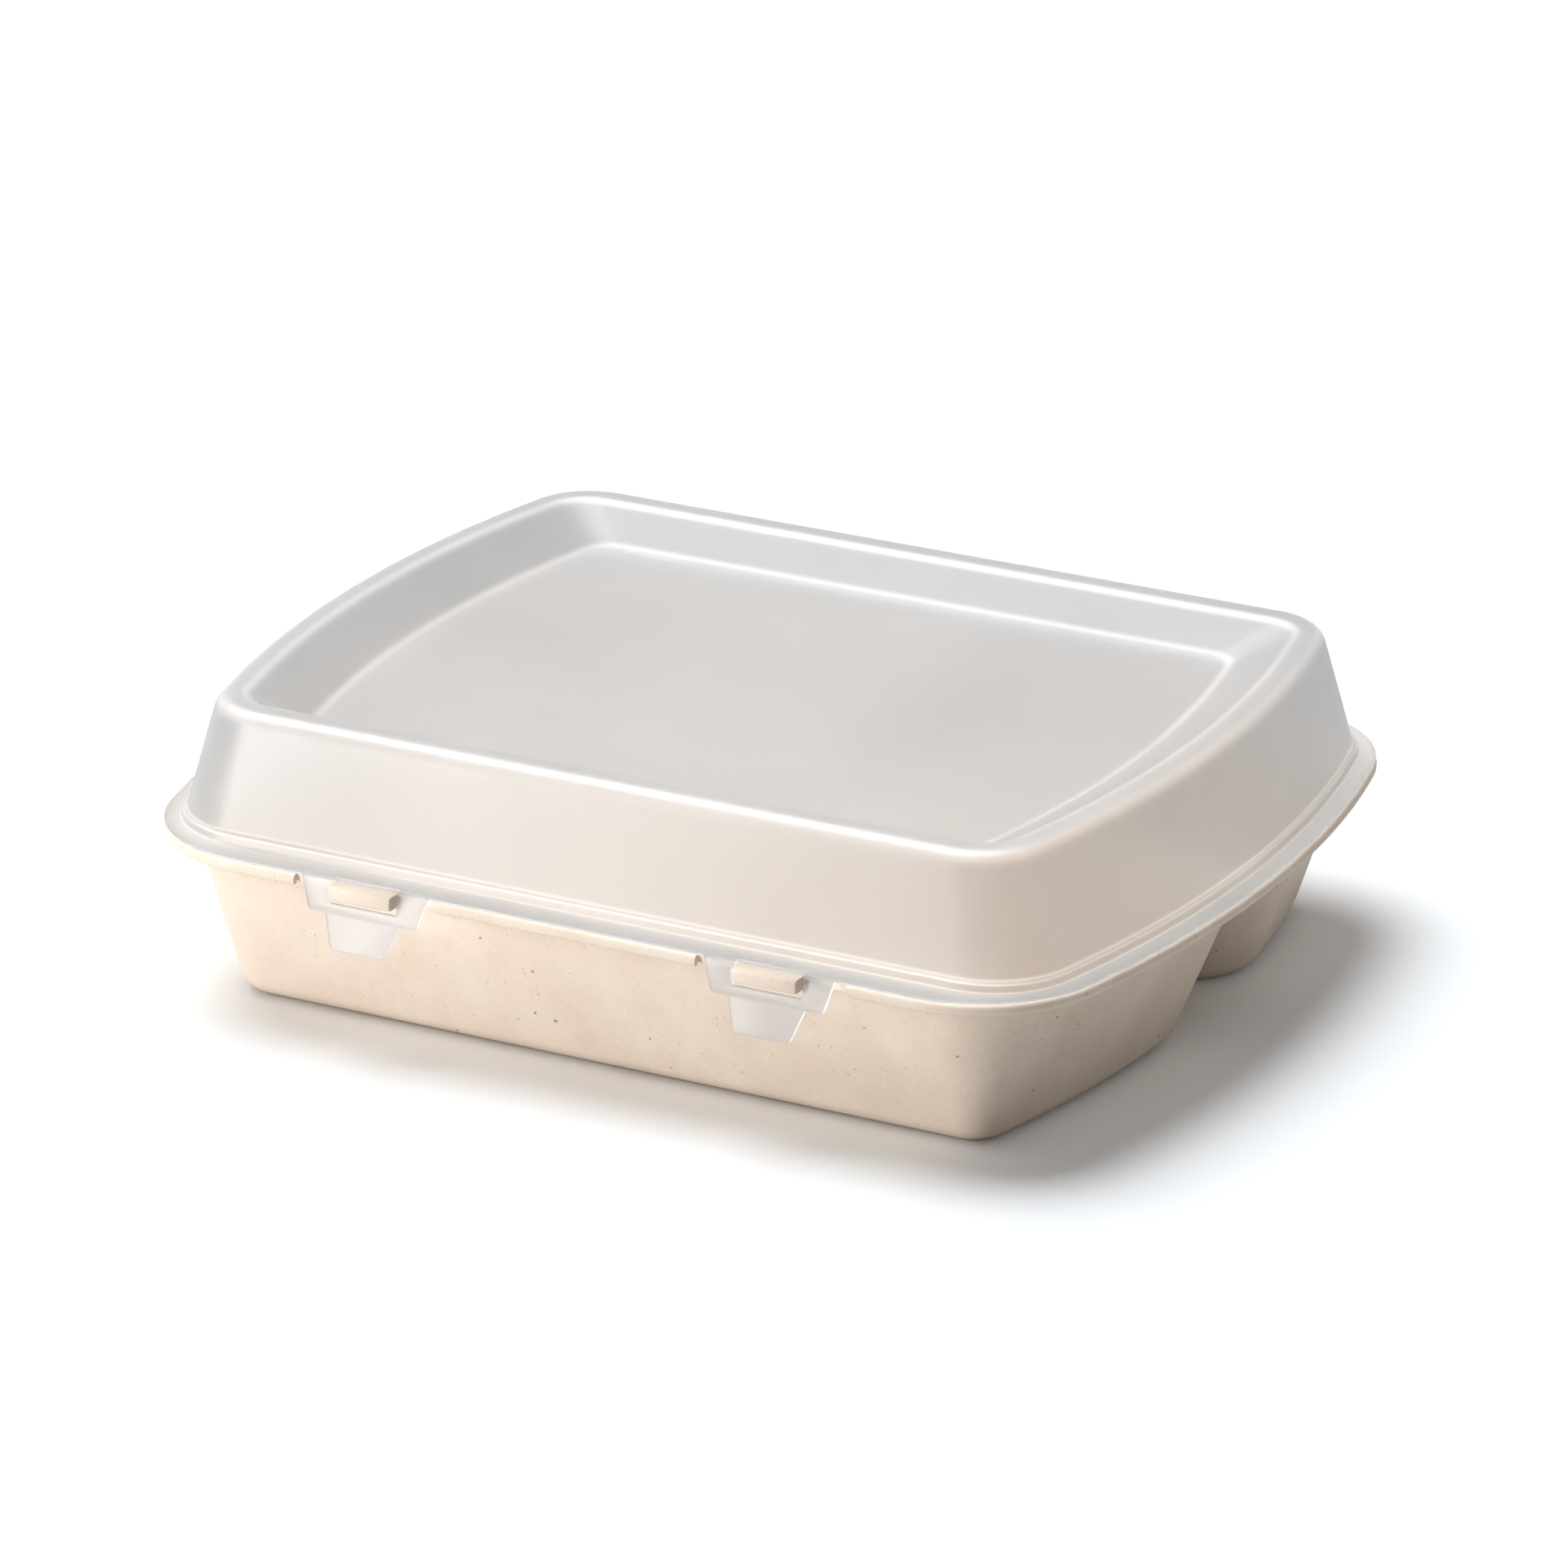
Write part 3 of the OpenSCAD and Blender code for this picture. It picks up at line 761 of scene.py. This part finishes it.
def rounded_outline(corners, steps):
    """A closed outline with an arc at each corner that has a rounding, as (x, y, rounding)."""
    points = []
    for i, corner in enumerate(corners):
        here = Vector(corner[:2])
        back = Vector(corners[i - 1][:2]) - here
        on = Vector(corners[(i + 1) % len(corners)][:2]) - here
        if not corner[2]:
            points.append(here)
            continue
        reach = corner[2] * math.tan((math.pi - back.angle(on)) / 2)
        start, end = here + back.normalized() * reach, here + on.normalized() * reach
        for k in range(steps + 1):
            t = k / steps
            points.append(start * (1 - t) ** 2 + here * (2 * t * (1 - t)) + end * t ** 2)
    return points


def make_tab(name, x, side):
    """A flat blank with its slot, cut across for the bends, rounded at its edges and bent to shape."""
    half_crease, half_shoulder = TAB_WIDE / 2, tab_shape(SHOULDER)
    tip = SHOULDER + TONGUE
    half = [
        (half_crease, 0, 0),
        (half_shoulder, SHOULDER, SHOULDER_R),
        (TONGUE_WIDE / 2, SHOULDER, TONGUE_ROOT_R),
        (TONGUE_WIDE / 2 - TONGUE_TAPER, tip, TIP_R),
    ]
    outline = rounded_outline(half + [(-a, b, r) for a, b, r in reversed(half)], TAB_CORNER_STEPS)
    bpy.ops.object.select_all(action="DESELECT")
    bpy.ops.mesh.primitive_circle_add(vertices=len(outline), fill_type="NGON")
    tab = bpy.context.object
    tab.name = tab.data.name = name
    bpy.ops.object.mode_set(mode="EDIT")
    mesh = bmesh.from_edit_mesh(tab.data)
    mesh.verts.ensure_lookup_table()
    for vertex, point in zip(mesh.verts, outline):
        vertex.co = Vector((point.x, -CREASE_R, point.y))
    bmesh.update_edit_mesh(tab.data)
    bpy.ops.mesh.select_all(action="SELECT")
    bpy.ops.mesh.extrude_region_move(TRANSFORM_OT_translate={"value": (0, 2 * CREASE_R, 0)})
    bpy.ops.object.mode_set(mode="OBJECT")
    recalculated(tab)
    slot = block("slot", (-SLOT_WIDE / 2, -1, -1), (SLOT_WIDE / 2, 1, SLOT_LOW))
    bevel_edges(slot, lambda a, b: both_at(a.z, b.z, SLOT_LOW) and abs(a.x - b.x) < HAIR, SLOT_R, 3)
    combine(tab, slot, "DIFFERENCE")
    modifier = tab.modifiers.new("edges", "BEVEL")
    modifier.width = TAB_EDGE_R
    modifier.segments = 3
    modifier.limit_method = "ANGLE"
    modifier.angle_limit = math.radians(50)
    bpy.context.view_layer.objects.active = tab
    bpy.ops.object.modifier_apply(modifier=modifier.name)
    bpy.ops.object.mode_set(mode="EDIT")
    for i in range(BEND_CUTS + 1):
        bpy.ops.mesh.select_all(action="SELECT")
        depth = BEND_START + BEND_RUN * i / BEND_CUTS
        bpy.ops.mesh.bisect(plane_co=(0, 0, depth), plane_no=(0, 0, 1))
    bpy.ops.object.mode_set(mode="OBJECT")
    for vertex in tab.data.vertices:
        vertex.co = bent(vertex.co, x, side)
    for end in (-1, 1):
        middle = end * (SLOT_WIDE + TAB_WIDE) / 4
        bpy.ops.object.select_all(action="DESELECT")
        bpy.ops.mesh.primitive_cylinder_add(
            vertices=24, radius=CREASE_R, depth=(TAB_WIDE - SLOT_WIDE) / 2,
            location=(x + middle, side * EDGE_Y, CREASE_Z), rotation=(0, math.pi / 2, 0),
        )
        crease = bpy.context.object
        bpy.ops.object.transform_apply(location=True, rotation=True, scale=True)
        combine(tab, crease, "UNION")
    recalculated(tab)
    smooth(tab, TAB_SMOOTH_ANGLE)
    dress(tab, frosted)
    return tab


for name, x, side, body in (
    ("latch_tab_left", -TAB_X, -1, "latch_left"),
    ("latch_tab_right", TAB_X, -1, "latch_right"),
    ("hinge_tab_left", -TAB_X, 1, "tray"),
    ("hinge_tab_right", TAB_X, 1, "tray"),
):
    tab = make_tab("frosted_" + name, x, side)
    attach(tab, body)
    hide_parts(name)

# Studio
# A pale floor that runs out of sight, a white surround, and soft lamps: a wide key overhead, a tall
# fill at the front left and a low sheen lamp under it. The camera stands where the photograph was
# taken from.
FLOOR_SIZE = 60
SURROUND_LIGHT = 0.2
SURROUND_SEEN = 1.0
LAMP_AIM = Vector((0, 0, 30)) * MM
bpy.ops.object.select_all(action="DESELECT")
bpy.ops.mesh.primitive_plane_add(size=FLOOR_SIZE)
floor = bpy.context.object
floor.name = "floor"


def seen_straight(tree):
    """1 for what the camera sees, straight or by way of gloss and clear plastic, and 0 for other light."""
    path = add_node(tree, "ShaderNodeLightPath", {})
    shiny = add_node(tree, "ShaderNodeMath", {
        0: path.outputs["Is Glossy Ray"], 1: path.outputs["Is Transmission Ray"],
    }, operation="MAXIMUM")
    seen = add_node(tree, "ShaderNodeMath", {
        0: path.outputs["Is Camera Ray"], 1: shiny.outputs["Value"],
    }, operation="MAXIMUM")
    return seen.outputs["Value"]


# Matt white card: it shows near white with the container's shadow on it, and throws back less light
# than it shows.
white, tree, output = new_material("matt_white_card")
tone = add_node(tree, "ShaderNodeMix", {
    "Factor": seen_straight(tree), "A": (0.8, 0.8, 0.8, 1), "B": (1.25, 1.3, 1.35, 1),
}, data_type="RGBA")
matt_white = add_node(tree, "ShaderNodeBsdfDiffuse", {"Color": tone.outputs["Result"]})
tree.links.new(matt_white.outputs["BSDF"], output.inputs["Surface"])
dress(floor, white)

world = bpy.data.worlds.new("surround")
bpy.context.scene.world = world
world.use_nodes = True
tree = world.node_tree
tree.nodes.clear()
level = add_node(tree, "ShaderNodeMix", {
    "Factor": seen_straight(tree), "A": SURROUND_LIGHT, "B": SURROUND_SEEN,
})
sky = add_node(tree, "ShaderNodeBackground", {"Color": (1, 1, 1, 1), "Strength": level.outputs["Result"]})
add_node(tree, "ShaderNodeOutputWorld", {"Surface": sky.outputs["Background"]})


def lamp(name, kind, place, energy, **settings):
    """A lamp at a place, aimed at the middle of the container."""
    data = bpy.data.lights.new(name, kind)
    data.energy = energy
    for key, value in settings.items():
        setattr(data, key, value)
    made = bpy.data.objects.new(name, data)
    bpy.context.scene.collection.objects.link(made)
    made.location = place
    made.rotation_euler = (LAMP_AIM - Vector(place)).to_track_quat("-Z", "Y").to_euler()
    made.visible_camera = False
    return made


# The two front lamps light only the container, so that its shadow on the floor stays grey
container = bpy.data.collections.new("container")
for piece in bpy.data.objects:
    if piece.type == "MESH" and piece is not floor:
        container.objects.link(piece)
lamp("key", "SUN", (-0.33, 0.16, 0.93), 2.05, angle=math.radians(42))
fill = lamp("fill", "AREA", (-0.42, -0.60, 0.22), 2.1, shape="RECTANGLE", size=0.24, size_y=0.4)
sheen = lamp("sheen", "AREA", (-0.35, -0.60, 0.06), 1.4, shape="RECTANGLE", size=0.13, size_y=0.12)
for front in (fill, sheen):
    front.light_linking.receiver_collection = container

CAMERA_AZIMUTH = math.radians(27.82)
CAMERA_HEIGHT = math.radians(21.36)
CAMERA_PLACE = Vector((823.5, -1556.6, 726.5)) * MM
CAMERA_LENS = 201.75
camera = bpy.data.objects.new("camera", bpy.data.cameras.new("camera"))
bpy.context.scene.collection.objects.link(camera)
camera.location = CAMERA_PLACE
back = Vector((
    math.sin(CAMERA_AZIMUTH) * math.cos(CAMERA_HEIGHT),
    -math.cos(CAMERA_AZIMUTH) * math.cos(CAMERA_HEIGHT),
    math.sin(CAMERA_HEIGHT),
))
camera.rotation_euler = (-back).to_track_quat("-Z", "Y").to_euler()
camera.data.lens = CAMERA_LENS
camera.data.sensor_width = 36
camera.data.clip_start = 0.05
bpy.context.scene.camera = camera
bpy.context.scene.view_settings.view_transform = "Standard"
